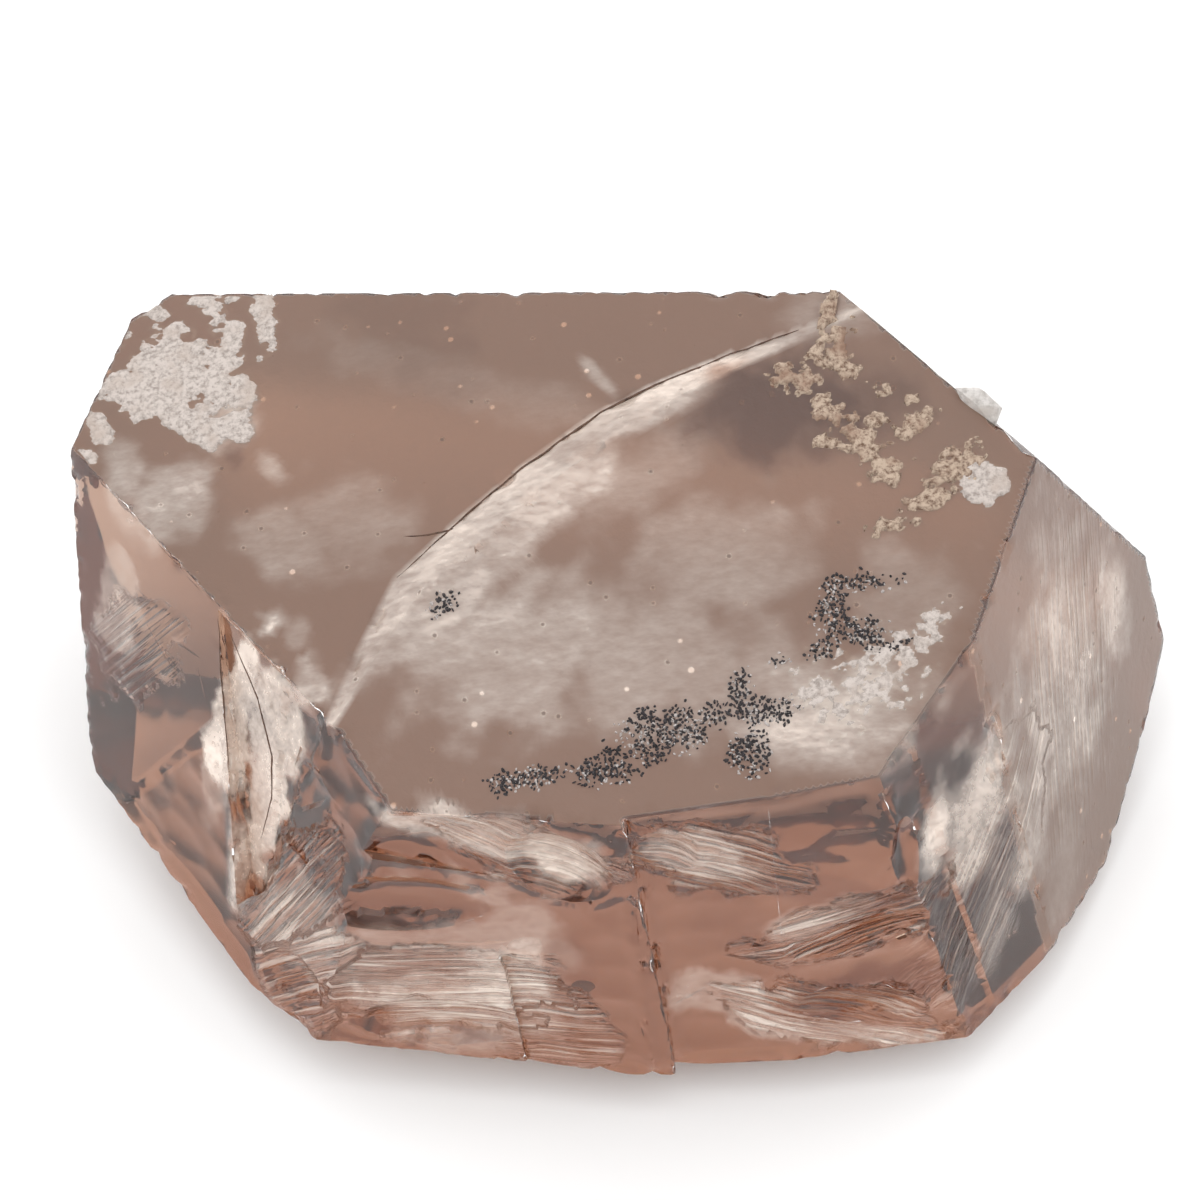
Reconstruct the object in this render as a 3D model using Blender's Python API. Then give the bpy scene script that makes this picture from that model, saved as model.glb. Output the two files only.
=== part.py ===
"""Rough topaz crystal, lying on its side on a small flat spot.

The crystal is one solid. It starts as a block, and each natural face is one flat cut through it,
given as a mineralogist would give it: the bearing that the face looks to, how far it leans from
level, and how far it lies from the crystal's heart. The breaks come next: a growth ledge across
the top, wedge-shaped cleavage steps, shell-shaped scars, and fine grooves where cleavage sheets
end. Last come the low mounds of crust on the top and a small splinter on the far edge.

Lengths are millimetres around the heart, and one parent scales them to metres. +X runs along the
crystal, +Y away from its broken front and +Z up.
"""

import random
from math import cos, radians, sin, sqrt, tau

import bmesh
import bpy
from mathutils import Matrix, Vector
from mathutils.bvhtree import BVHTree

MM = 0.001
BLOCK = 90.0
OUT_OF_REACH = 60.0
SAME_POINT = 1e-6
UP = Vector((0.0, 0.0, 1.0))

# Natural faces: (bearing, lean, distance). Bearing 0 looks to the front and 90 to +X. Lean 0
# looks straight up, 90 is upright and 180 looks down.
FACES = {
    "top_middle": (-10.5, 17.0, 9.3),
    "end_left": (-51.0, 70.5, 14.3),
    "front_left": (-5.5, 79.5, 12.1),
    "front_right": (8.0, 78.5, 12.2),
    "narrow_right": (48.5, 71.5, 15.3),
    "end_right": (63.0, 71.5, 16.2),
    "corner_left": (-44.0, 74.0, 14.7),
    "back": (173.0, 79.5, 12.9),
    "back_right": (129.0, 56.0, 17.95),
    "back_left": (-105.0, 73.5, 24.0),
    "back_left_corner": (-145.5, 77.0, 23.2),
    "side_left": (-92.5, 90.5, 22.3),
    "side_right_upper": (100.5, 75.0, 22.5),
    "side_right_middle": (84.0, 105.5, 23.6),
    "side_right_lower": (80.0, 113.0, 23.0),
    "under_front_left": (-9.5, 149.5, 13.4),
    "under_front_right": (9.0, 150.0, 13.7),
    "under_left": (-60.5, 140.0, 17.0),
    "under_right": (45.0, 145.0, 17.0),
    "under_corner": (-44.5, 143.0, 16.3),
    "under_back": (178.0, 122.0, 14.6),
    "under_back_right": (134.0, 118.0, 21.2),
    "under_back_left": (-112.0, 122.0, 20.4),
    "resting_spot": (0.0, 180.0, 10.0),
}
# The upper left face lies lower than the middle one's layer, which ends over it in a ledge.
FACES_BELOW_LEDGE = {"top_left": (-53.5, 13.0, 9.6)}

# The ledge's foot on the upper left face, from the near end to the far one: (x, y).
LEDGE_FOOT = [
    (-11.4, -8.6), (-9.7, -4.0), (-8.4, -1.0), (-6.4, 0.9), (-3.7, 3.2),
    (-0.6, 5.4), (1.6, 6.4), (4.5, 7.4), (7.2, 8.1), (11.0, 9.2), (16.0, 11.0),
]
LEDGE_RISE = 5.0
LEDGE_LEAN = Vector((9.0, -11.5, 0.0))

# Cleavage wedges: a steep wall from wall_a to wall_b, which feathers out to nothing between out_a
# and out_b. Each end of the wall has its own depth. Points are (x, z) on a face.
WEDGES = [
    # face, wall_a, depth_a, wall_b, depth_b, out_a, out_b
    ("end_left", (-15.4, 6.6), 0.2, (-15.3, -4.6), 0.95, (-10.9, 6.9), (-13.5, -1.8)),
    ("end_left", (-12.2, 4.6), 0.3, (-13.6, 0.4), 0.35, (-10.6, 4.2), (-11.8, 0.4)),
    ("front_right", (0.2, 7.2), 0.2, (2.6, -8.4), 0.75, (5.6, 6.9), (7.4, -8.8)),
    ("front_left", (-4.4, -1.2), 0.35, (-3.4, -8.4), 0.25, (-1.6, -0.8), (-1.2, -8.4)),
    ("front_left", (-8.6, 5.9), 0.2, (-9.6, 3.6), 0.4, (-3.2, 6.4), (-4.6, 3.2)),
]
WEDGE_OVER = 2.0
WEDGE_FEATHER = 0.01

# Shell-shaped scars: (face, x, z, half length, half width, depth, turn about the face's own
# outward direction in degrees, with 0 for a scar that lies level).
SCARS = [
    ("front_left", -8.3, 1.2, 3.6, 1.5, 0.5, 8.0),
    ("front_left", -2.1, 3.9, 2.2, 1.6, 0.55, -35.0),
    ("front_left", -6.9, -5.4, 3.4, 1.4, 0.4, 6.0),
    ("front_right", 1.9, 4.6, 1.9, 1.1, 0.45, -40.0),
    ("front_right", 9.6, -0.9, 3.4, 0.8, 0.3, 14.0),
    ("front_right", 9.8, -4.9, 2.6, 1.0, 0.35, -12.0),
    ("corner_left", -13.0, -5.4, 2.0, 1.6, 0.4, 30.0),
    ("narrow_right", 10.9, 2.6, 2.4, 0.9, 0.4, 75.0),
    ("end_right", 14.7, 3.6, 2.0, 0.6, 0.3, 80.0),
]
# A scar is the cap of a ball, and this is the cap's radius as a share of the ball's.
SCAR_CAP = 0.6
SCAR_RINGS = 40
SCAR_SIDES = 24

# Grooves where thin sheets end: (face, first x, first z, step x, step z, count, run, turn).
GROOVES = [
    ("narrow_right", 12.9, 5.4, 0.42, -1.35, 9, 5.4, 34.0),
    ("front_left", -7.4, -1.5, 0.15, -0.72, 4, 6.4, 7.0),
    ("front_right", 8.8, -2.2, 0.35, -0.85, 5, 7.2, -24.0),
]
GROOVE_DEPTH = 0.22
GROOVE_WIDTH = 0.5
GROOVE_OVER = 0.3
# The bottom of a groove is shorter than its mouth, and stands nearer one side.
GROOVE_BOTTOM = 0.8

# Crust on the top: (x, y, half length, half width, turn, mounds, radius of a mound).
CRUST = {
    "pale_far_left": (-17.6, 9.0, 3.6, 1.9, -14.0, 26, 0.85),
    "pale_far_edge": (-14.6, 12.0, 2.2, 0.8, -24.0, 9, 0.7),
    "tan_far": (7.8, 6.6, 1.9, 0.9, 75.0, 12, 0.5),
    "tan_middle": (9.4, 3.7, 2.4, 0.7, -50.0, 10, 0.45),
    "tan_right": (12.9, 1.4, 2.4, 0.7, 28.0, 12, 0.5),
    "pale_right": (9.6, -5.9, 2.8, 1.4, 35.0, 16, 0.8),
    "dark_right": (8.6, -3.9, 1.6, 0.8, -50.0, 9, 0.5),
    "dark_middle": (5.1, -7.5, 1.5, 0.8, 80.0, 9, 0.5),
    "dark_near": (1.0, -8.6, 2.4, 0.8, 24.0, 12, 0.5),
}
MOUND_SIZES = (0.7, 1.15)
MOUND_SQUASH = 0.34
MOUND_SUNK = 0.08
MOUND_SEED = 7
# Mounds sit only where the top's outward direction points up at least this much.
LEVEL_ENOUGH = 0.9

SPLINTER_AT = (14.0, 4.5)
SPLINTER_SIZE = Vector((1.1, 0.6, 0.5))
SPLINTER_TURN = -48.0
SPLINTER_CORNERS = [
    (-1.0, 0.9, 0.1), (-0.2, -1.0, -0.6), (0.7, -0.9, -0.7), (0.9, 0.3, 0.0),
    (0.5, 1.2, 0.2), (-0.1, 0.9, 0.3), (0.4, -0.6, 0.5), (0.1, 0.5, -0.9),
]


def clear_scene():
    for old in list(bpy.data.objects):
        bpy.data.objects.remove(old, do_unlink=True)


def outward(face):
    """The face's outward direction."""
    bearing, lean, _ = face
    flat = sin(radians(lean))
    return Vector((
        sin(radians(bearing)) * flat,
        -cos(radians(bearing)) * flat,
        cos(radians(lean)),
    ))


def all_faces():
    return {**FACES, **FACES_BELOW_LEDGE}


def on_face(name, x, y=None, z=None):
    """The point of a face at x and y, or at x and z."""
    face = all_faces()[name]
    n, distance = outward(face), face[2]
    if y is None:
        return Vector((x, (distance - n.x * x - n.z * z) / n.y, z))
    return Vector((x, y, (distance - n.x * x - n.y * y) / n.z))


def face_frame(name, turn):
    """A turn that lays a shape on a face: its X level along the face, its Z outward."""
    n = outward(all_faces()[name])
    level = UP.cross(n).normalized()
    base = Matrix((level, n.cross(level), n)).transposed()
    return (base @ Matrix.Rotation(radians(turn), 3, "Z")).to_4x4()


def slice_off(bm, n, distance):
    """Cuts away all that lies beyond a plane, and closes the cut with one flat face."""
    everything = bm.verts[:] + bm.edges[:] + bm.faces[:]
    bmesh.ops.bisect_plane(
        bm, geom=everything, plane_co=n * distance, plane_no=n, clear_outer=True, dist=SAME_POINT
    )
    rim = [edge for edge in bm.edges if edge.is_boundary]
    if rim:
        bmesh.ops.contextual_create(bm, geom=rim)


def convex_solid(bm, points):
    """Adds the closed solid that wraps the points."""
    verts = [bm.verts.new(p) for p in points]
    made = bmesh.ops.convex_hull(bm, input=verts)
    spare = [v for v in made["geom_interior"] if isinstance(v, bmesh.types.BMVert)]
    bmesh.ops.delete(bm, geom=spare, context="VERTS")


def new_object(name, bm, heart):
    bmesh.ops.recalc_face_normals(bm, faces=bm.faces)
    mesh = bpy.data.meshes.new(name)
    bm.to_mesh(mesh)
    bm.free()
    obj = bpy.data.objects.new(name, mesh)
    bpy.context.scene.collection.objects.link(obj)
    obj.parent = heart
    return obj


def natural_crystal(heart):
    bm = bmesh.new()
    bmesh.ops.create_cube(bm, size=BLOCK)
    for face in FACES.values():
        slice_off(bm, outward(face), face[2])
    return new_object("topaz_crystal", bm, heart)


def ledge_cutter(heart):
    """All that the upper left face lacks: a slab on it whose near wall leans over the ledge."""
    far_side = [(OUT_OF_REACH, OUT_OF_REACH), (-OUT_OF_REACH, OUT_OF_REACH),
                (-OUT_OF_REACH, -OUT_OF_REACH / 2)]
    outline = [on_face("top_left", x, y=y) for x, y in LEDGE_FOOT + far_side]
    bm = bmesh.new()
    floor = bm.faces.new([bm.verts.new(p) for p in outline])
    raised = bmesh.ops.extrude_face_region(bm, geom=[floor])["geom"]
    top = [v for v in raised if isinstance(v, bmesh.types.BMVert)]
    bmesh.ops.translate(bm, verts=top, vec=LEDGE_LEAN + UP * LEDGE_RISE)
    return new_object("ledge_cutter", bm, heart)


def wedge_cutters(heart):
    bm = bmesh.new()
    for name, wall_a, depth_a, wall_b, depth_b, out_a, out_b in WEDGES:
        n = outward(all_faces()[name])
        wall = [on_face(name, x, z=z) for x, z in (wall_a, wall_b)]
        feathered = [on_face(name, x, z=z) for x, z in (out_a, out_b)]
        inner = [p - n * d for p, d in zip(wall, (depth_a, depth_b))]
        inner += [p + n * WEDGE_FEATHER for p in feathered]
        outer = [p + n * WEDGE_OVER for p in wall + feathered]
        convex_solid(bm, inner + outer)
    return new_object("wedge_cutter", bm, heart)


def scar_cutters(heart):
    """Each scar is the cap of a stretched ball whose pole points into the crystal."""
    bm = bmesh.new()
    sunk = sqrt(1.0 - SCAR_CAP * SCAR_CAP)
    for name, x, z, half_length, half_width, depth, turn in SCARS:
        tall = depth / (1.0 - sunk)
        centre = on_face(name, x, z=z) + outward(all_faces()[name]) * tall * sunk
        size = Matrix.Diagonal((half_length / SCAR_CAP, half_width / SCAR_CAP, tall, 1.0))
        place = Matrix.Translation(centre) @ face_frame(name, turn) @ size
        bmesh.ops.create_uvsphere(
            bm, u_segments=SCAR_SIDES, v_segments=SCAR_RINGS, radius=1.0, matrix=place
        )
    return new_object("scar_cutter", bm, heart)


def groove_cutters(heart):
    bm = bmesh.new()
    for name, x, z, step_x, step_z, count, run, turn in GROOVES:
        frame = face_frame(name, turn)
        along = frame.col[0].to_3d()
        across = frame.col[1].to_3d()
        n = frame.col[2].to_3d()
        for i in range(count):
            middle = on_face(name, x + i * step_x, z=z + i * step_z)
            half = along * run / 2
            bottom = middle - n * GROOVE_DEPTH + across * GROOVE_WIDTH / 4
            ends = (-half, half)
            points = [bottom + end * GROOVE_BOTTOM for end in ends]
            for side in (-across, across):
                lip = middle + side * GROOVE_WIDTH / 2 + n * GROOVE_OVER
                points += [lip + end for end in ends]
            convex_solid(bm, points)
    return new_object("groove_cutter", bm, heart)


def surface_of(obj):
    graph = bpy.context.evaluated_depsgraph_get()
    return BVHTree.FromObject(obj, graph)


def crust_mounds(heart, surface):
    """Low round mounds, scattered in patches and sunk into the top so that each one is fused."""
    rng = random.Random(MOUND_SEED)
    bm = bmesh.new()
    for x, y, half_length, half_width, turn, count, radius in CRUST.values():
        patch = Matrix.Rotation(radians(turn), 2)
        for _ in range(count):
            reach = sqrt(rng.random())
            way = rng.uniform(0.0, tau)
            offset = patch @ Vector((
                reach * half_length * cos(way), reach * half_width * sin(way)
            ))
            above = Vector((x + offset.x, y + offset.y, OUT_OF_REACH))
            point, n, _, _ = surface.ray_cast(above, -UP)
            size = radius * rng.uniform(*MOUND_SIZES)
            if point is None or n.z < LEVEL_ENOUGH:
                continue
            squash = Matrix.Diagonal((size, size, size * MOUND_SQUASH, 1.0))
            lean = UP.rotation_difference(n).to_matrix().to_4x4()
            spin = Matrix.Rotation(rng.uniform(0.0, tau), 4, "Z")
            place = Matrix.Translation(point - n * size * MOUND_SUNK) @ lean @ spin @ squash
            bmesh.ops.create_icosphere(bm, subdivisions=1, radius=1.0, matrix=place)
    return new_object("crust_mounds", bm, heart)


def splinter(heart, surface):
    """A sharp flake that stands out from the far edge of the middle face."""
    above = Vector((*SPLINTER_AT, OUT_OF_REACH))
    point, _, _, _ = surface.ray_cast(above, -UP)
    turn = Matrix.Rotation(radians(SPLINTER_TURN), 3, "Z")
    bm = bmesh.new()
    convex_solid(bm, [point + turn @ (Vector(c) * SPLINTER_SIZE) for c in SPLINTER_CORNERS])
    return new_object("splinter", bm, heart)


def boolean(target, other, operation):
    other.hide_render = True
    other.display_type = "WIRE"
    modifier = target.modifiers.new(other.name, "BOOLEAN")
    modifier.operation = operation
    modifier.solver = "EXACT"
    modifier.use_self = True
    modifier.object = other


def topaz_material():
    """Clear sherry-brown topaz: glassy where it broke, silky where it grew."""
    material = bpy.data.materials.new("sherry_topaz")
    material.use_nodes = True
    shader = material.node_tree.nodes["Principled BSDF"]
    shader.inputs["Base Color"].default_value = (0.37, 0.24, 0.18, 1.0)
    shader.inputs["Roughness"].default_value = 0.2
    shader.inputs["Metallic"].default_value = 0.0
    shader.inputs["IOR"].default_value = 1.62
    shader.inputs["Transmission Weight"].default_value = 0.8
    return material


def stand_on_origin(heart, crystal):
    """Moves the heart so that the box's bottom centre is the origin."""
    bpy.context.view_layer.update()
    graph = bpy.context.evaluated_depsgraph_get()
    solid = crystal.evaluated_get(graph)
    corners = [solid.matrix_world @ v.co for v in solid.data.vertices]
    low = Vector(min(c[i] for c in corners) for i in range(3))
    high = Vector(max(c[i] for c in corners) for i in range(3))
    heart.location = (-(low.x + high.x) / 2, -(low.y + high.y) / 2, -low.z)


def main():
    clear_scene()
    heart = bpy.data.objects.new("heart", None)
    bpy.context.scene.collection.objects.link(heart)
    heart.scale = (MM, MM, MM)
    crystal = natural_crystal(heart)
    crystal.data.materials.append(topaz_material())
    boolean(crystal, ledge_cutter(heart), "DIFFERENCE")
    bpy.context.view_layer.update()
    top = surface_of(crystal)
    boolean(crystal, wedge_cutters(heart), "DIFFERENCE")
    boolean(crystal, scar_cutters(heart), "DIFFERENCE")
    boolean(crystal, groove_cutters(heart), "DIFFERENCE")
    boolean(crystal, crust_mounds(heart, top), "UNION")
    boolean(crystal, splinter(heart, top), "UNION")
    stand_on_origin(heart, crystal)


main()
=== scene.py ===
# %% [markdown]
# # A rough topaz crystal, lying on its side
# The real thing is one clear, sherry-brown crystal of topaz, a hard gem mineral, 46 mm long.
# It grew with flat faces in warm water that ran through a crack in the rock. Later it broke off
# its bed, which left a ragged, glassy front, and clay dried on its top in thin crusts.
#
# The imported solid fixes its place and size, so this lesson loads it first, builds the same
# faces again with much finer surfaces, and puts the new crystal in the solid's place.

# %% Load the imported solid
from math import cos, pi, radians, sin, sqrt

import bmesh
import bpy
import numpy as np
from mathutils import Matrix, Vector, noise
from mathutils.bvhtree import BVHTree
from mathutils.kdtree import KDTree


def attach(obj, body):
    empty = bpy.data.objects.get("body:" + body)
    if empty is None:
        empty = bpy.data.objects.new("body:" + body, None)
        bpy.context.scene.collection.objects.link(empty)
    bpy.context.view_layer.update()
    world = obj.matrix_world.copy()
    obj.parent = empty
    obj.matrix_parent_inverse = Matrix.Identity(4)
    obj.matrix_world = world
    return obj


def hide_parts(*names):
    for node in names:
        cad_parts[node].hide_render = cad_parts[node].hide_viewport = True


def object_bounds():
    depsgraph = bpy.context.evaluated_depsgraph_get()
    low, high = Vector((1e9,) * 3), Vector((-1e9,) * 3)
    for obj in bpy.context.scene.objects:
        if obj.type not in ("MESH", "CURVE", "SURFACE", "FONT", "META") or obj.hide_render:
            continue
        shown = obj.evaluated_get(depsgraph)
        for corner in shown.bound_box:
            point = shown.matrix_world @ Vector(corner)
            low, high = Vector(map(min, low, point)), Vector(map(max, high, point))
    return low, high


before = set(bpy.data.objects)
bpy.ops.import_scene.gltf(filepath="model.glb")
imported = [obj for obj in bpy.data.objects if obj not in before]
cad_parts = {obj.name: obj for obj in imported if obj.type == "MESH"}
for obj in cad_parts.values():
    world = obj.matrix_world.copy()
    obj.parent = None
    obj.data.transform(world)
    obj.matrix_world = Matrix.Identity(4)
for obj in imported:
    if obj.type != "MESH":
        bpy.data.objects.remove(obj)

CAD_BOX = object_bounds()
print("packed solid:", [round(1000 * side, 1) for side in CAD_BOX[1] - CAD_BOX[0]], "mm")

# %% [markdown]
# ## Two small helpers
# Colours are written as sRGB hex values, as a paint program shows them, but a shader works with
# linear light, so one function converts them. The other helper adds a node, sets its own
# settings, and fills its sockets, either with a value or with another node's output.

# %% Colour and node helpers
MM = 0.001
UP = Vector((0.0, 0.0, 1.0))


def linear(hex_value):
    """An sRGB hex value, such as "987866", as linear RGBA."""
    parts = [int(hex_value[i:i + 2], 16) / 255 for i in (0, 2, 4)]
    return [p / 12.92 if p <= 0.04045 else ((p + 0.055) / 1.055) ** 2.4 for p in parts] + [1.0]


def add(tree, kind, sockets=(), **settings):
    """Adds a node with its settings, and its sockets filled by values or by links."""
    node = tree.nodes.new(kind)
    for key, value in settings.items():
        setattr(node, key, value)
    for key, value in dict(sockets).items():
        if isinstance(value, bpy.types.NodeSocket):
            tree.links.new(value, node.inputs[key])
        else:
            node.inputs[key].default_value = value
    return node


def smooth(low, high, x):
    """0 below low, 1 above high, and an S-shaped rise between them."""
    t = np.clip((x - low) / (high - low), 0.0, 1.0)
    return t * t * (3.0 - 2.0 * t)


# %% [markdown]
# ## The natural faces
# A crystal's faces are flat because atoms join it in layers. A mineralogist gives each face by
# the way it looks (its bearing), how far it leans from level, and how far it lies from the
# crystal's heart. A block that is cut by one plane for each face gives exactly that shape.
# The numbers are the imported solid's own: millimetres and degrees around the heart.

# %% Faces of the crystal
BLOCK = 90.0
FAR = 60.0

NATURAL_FACES = {
    "top_middle": (-10.5, 17.0, 9.3),
    "end_left": (-51.0, 70.5, 14.3),
    "front_left": (-5.5, 79.5, 12.1),
    "front_right": (8.0, 78.5, 12.2),
    "narrow_right": (48.5, 71.5, 15.3),
    "end_right": (63.0, 71.5, 16.2),
    "corner_left": (-44.0, 74.0, 14.7),
    "back": (173.0, 79.5, 12.9),
    "back_right": (129.0, 56.0, 17.95),
    "back_left": (-105.0, 73.5, 24.0),
    "back_left_corner": (-145.5, 77.0, 23.2),
    "side_left": (-92.5, 90.5, 22.3),
    "side_right_upper": (100.5, 75.0, 22.5),
    "side_right_middle": (84.0, 105.5, 23.6),
    "side_right_lower": (80.0, 113.0, 23.0),
    "under_front_left": (-9.5, 149.5, 13.4),
    "under_front_right": (9.0, 150.0, 13.7),
    "under_left": (-60.5, 140.0, 17.0),
    "under_right": (45.0, 145.0, 17.0),
    "under_corner": (-44.5, 143.0, 16.3),
    "under_back": (178.0, 122.0, 14.6),
    "under_back_right": (134.0, 118.0, 21.2),
    "under_back_left": (-112.0, 122.0, 20.4),
    "resting_spot": (0.0, 180.0, 10.0),
}
LOWER_FACE = {"top_left": (-53.5, 13.0, 9.6)}
ALL_FACES = {**NATURAL_FACES, **LOWER_FACE}


def outward(name):
    """The direction that a face looks to."""
    bearing, lean, _ = ALL_FACES[name]
    flat = sin(radians(lean))
    return Vector((
        sin(radians(bearing)) * flat, -cos(radians(bearing)) * flat, cos(radians(lean))
    ))


def on_face(name, x, y=None, z=None):
    """The point of a face at x and y, or at x and z."""
    n, distance = outward(name), ALL_FACES[name][2]
    if y is None:
        return Vector((x, (distance - n.x * x - n.z * z) / n.y, z))
    return Vector((x, y, (distance - n.x * x - n.y * y) / n.z))


def face_frame(name, turn):
    """A turn that lays a shape on a face: its X level along the face, its Z outward."""
    n = outward(name)
    level = UP.cross(n).normalized()
    base = Matrix((level, n.cross(level), n)).transposed()
    return base @ Matrix.Rotation(radians(turn), 3, "Z")


# Each break leaves its own finish, so a face remembers what cut it by its material number.
FINISHES = ["grown", "ledge", "cleaved", "shell"]
for finish in FINISHES:
    bpy.data.materials.new("finish_" + finish)


def new_object(name, bm, finish="grown"):
    bmesh.ops.recalc_face_normals(bm, faces=bm.faces)
    for face in bm.faces:
        face.material_index = FINISHES.index(finish)
    mesh = bpy.data.meshes.new(name)
    bm.to_mesh(mesh)
    bm.free()
    for kind in FINISHES:
        mesh.materials.append(bpy.data.materials["finish_" + kind])
    obj = bpy.data.objects.new(name, mesh)
    bpy.context.scene.collection.objects.link(obj)
    return obj


def slice_off(bm, n, distance):
    """Cuts away all beyond a plane and closes the cut with one flat face."""
    everything = bm.verts[:] + bm.edges[:] + bm.faces[:]
    bmesh.ops.bisect_plane(bm, geom=everything, plane_co=n * distance, plane_no=n,
                           clear_outer=True, dist=1e-6)
    bmesh.ops.contextual_create(bm, geom=[e for e in bm.edges if e.is_boundary])


block = bmesh.new()
bmesh.ops.create_cube(block, size=BLOCK)
for face_name, (_, _, distance) in NATURAL_FACES.items():
    slice_off(block, outward(face_name), distance)
crystal = new_object("topaz", block)
print("natural faces:", len(crystal.data.polygons))

# %% [markdown]
# ## The breaks
# Topaz splits easily across its length, and elsewhere it breaks like glass, in shells. So the
# front has flat cleavage wedges and scooped scars, and one growth layer ends on top in a ledge.
# Each break is made the way it happened: a solid of the missing shape is taken off by a Boolean.

# %% The ledge across the top
LEDGE_FOOT = [
    (-11.4, -8.6), (-9.7, -4.0), (-8.4, -1.0), (-6.4, 0.9), (-3.7, 3.2),
    (-0.6, 5.4), (1.6, 6.4), (4.5, 7.4), (7.2, 8.1), (11.0, 9.2), (16.0, 11.0),
]
LEDGE_LEAN = Vector((9.0, -11.5, 5.0))


def take_off(target, cutter, operation="DIFFERENCE"):
    """Applies one exact Boolean and removes the cutter."""
    modifier = target.modifiers.new("cut", "BOOLEAN")
    modifier.operation = operation
    modifier.solver = "EXACT"
    modifier.use_self = True
    modifier.object = cutter
    solid = target.evaluated_get(bpy.context.evaluated_depsgraph_get())
    mesh = bpy.data.meshes.new_from_object(solid)
    target.modifiers.clear()
    target.data = mesh
    bpy.data.objects.remove(cutter)


outline = LEDGE_FOOT + [(FAR, FAR), (-FAR, FAR), (-FAR, -FAR / 2)]
bm = bmesh.new()
ledge_floor = bm.faces.new([bm.verts.new(on_face("top_left", x, y=y)) for x, y in outline])
raised = bmesh.ops.extrude_face_region(bm, geom=[ledge_floor])["geom"]
bmesh.ops.translate(bm, verts=[v for v in raised if isinstance(v, bmesh.types.BMVert)],
                    vec=LEDGE_LEAN)
take_off(crystal, new_object("ledge", bm, "ledge"))
for face in crystal.data.polygons:
    if face.normal.dot(outward("top_left")) > 0.999:
        face.material_index = FINISHES.index("grown")
print("faces with the ledge:", len(crystal.data.polygons))

# %% Cleavage wedges
# face, wall from, depth, wall to, depth, feathers out from, to: (x, z) on the face
WEDGES = [
    ("end_left", (-15.4, 6.6), 0.2, (-15.3, -4.6), 0.95, (-10.9, 6.9), (-13.5, -1.8)),
    ("end_left", (-12.2, 4.6), 0.3, (-13.6, 0.4), 0.35, (-10.6, 4.2), (-11.8, 0.4)),
    ("front_right", (0.2, 7.2), 0.2, (2.6, -8.4), 0.75, (5.6, 6.9), (7.4, -8.8)),
    ("front_left", (-4.4, -1.2), 0.35, (-3.4, -8.4), 0.25, (-1.6, -0.8), (-1.2, -8.4)),
    ("front_left", (-8.6, 5.9), 0.2, (-9.6, 3.6), 0.4, (-3.2, 6.4), (-4.6, 3.2)),
]
WEDGE_FEATHER = 0.01
WEDGE_OVER = 2.0


def wrap(bm, points):
    """Adds the closed solid that wraps the points."""
    made = bmesh.ops.convex_hull(bm, input=[bm.verts.new(p) for p in points])
    spare = [v for v in made["geom_interior"] if isinstance(v, bmesh.types.BMVert)]
    bmesh.ops.delete(bm, geom=spare, context="VERTS")


bm = bmesh.new()
for name, wall_a, depth_a, wall_b, depth_b, out_a, out_b in WEDGES:
    n = outward(name)
    wall = [on_face(name, x, z=z) for x, z in (wall_a, wall_b)]
    rim = [on_face(name, x, z=z) for x, z in (out_a, out_b)]
    inner = [p - n * d for p, d in zip(wall, (depth_a, depth_b))]
    wrap(bm, inner + [p + n * WEDGE_FEATHER for p in rim] + [p + n * WEDGE_OVER for p in wall + rim])
take_off(crystal, new_object("wedges", bm, "cleaved"))
print("cleavage wedges:", len(WEDGES))

# %% Shell-shaped scars
# face, x, z, half length, half width, depth, turn
SCARS = [
    ("front_left", -8.3, 1.2, 3.6, 1.5, 0.5, 8.0),
    ("front_left", -2.1, 3.9, 2.2, 1.6, 0.55, -35.0),
    ("front_left", -6.9, -5.4, 3.4, 1.4, 0.4, 6.0),
    ("front_right", 1.9, 4.6, 1.9, 1.1, 0.45, -40.0),
    ("front_right", 9.6, -0.9, 3.4, 0.8, 0.3, 14.0),
    ("front_right", 9.8, -4.9, 2.6, 1.0, 0.35, -12.0),
    ("corner_left", -13.0, -5.4, 2.0, 1.6, 0.4, 30.0),
    ("narrow_right", 10.9, 2.6, 2.4, 0.9, 0.4, 75.0),
    ("end_right", 14.7, 3.6, 2.0, 0.6, 0.3, 80.0),
]
SCAR_CAP = 0.6

bm = bmesh.new()
sunk = sqrt(1.0 - SCAR_CAP * SCAR_CAP)
for name, x, z, half_length, half_width, depth, turn in SCARS:
    tall = depth / (1.0 - sunk)
    centre = on_face(name, x, z=z) + outward(name) * tall * sunk
    size = Matrix.Diagonal((half_length / SCAR_CAP, half_width / SCAR_CAP, tall, 1.0))
    place = Matrix.Translation(centre) @ face_frame(name, turn).to_4x4() @ size
    bmesh.ops.create_uvsphere(bm, u_segments=28, v_segments=44, radius=1.0, matrix=place)
take_off(crystal, new_object("scars", bm, "shell"))
print("scars:", len(SCARS), "and faces now:", len(crystal.data.polygons))

# %% [markdown]
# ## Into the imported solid's place
# The heart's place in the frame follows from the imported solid's box: the bottom of the box is
# the floor, and its middle is the origin. The largest gap between the two shapes is printed
# as a check; only the mounds of crust and the grooves should stand out in it.

# %% Find the heart and check the fit
corners = np.array([v.co for v in crystal.data.vertices])
low, high = Vector(corners.min(0)), Vector(corners.max(0))
cad_low, cad_high = (corner / MM for corner in CAD_BOX)
HEART = (cad_low + cad_high) / 2 - (low + high) / 2
HEART.z = cad_low.z - low.z


def to_frame(point):
    """A point given in millimetres around the heart, in the frame's metres."""
    return (Vector(point) + HEART) * MM


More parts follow.
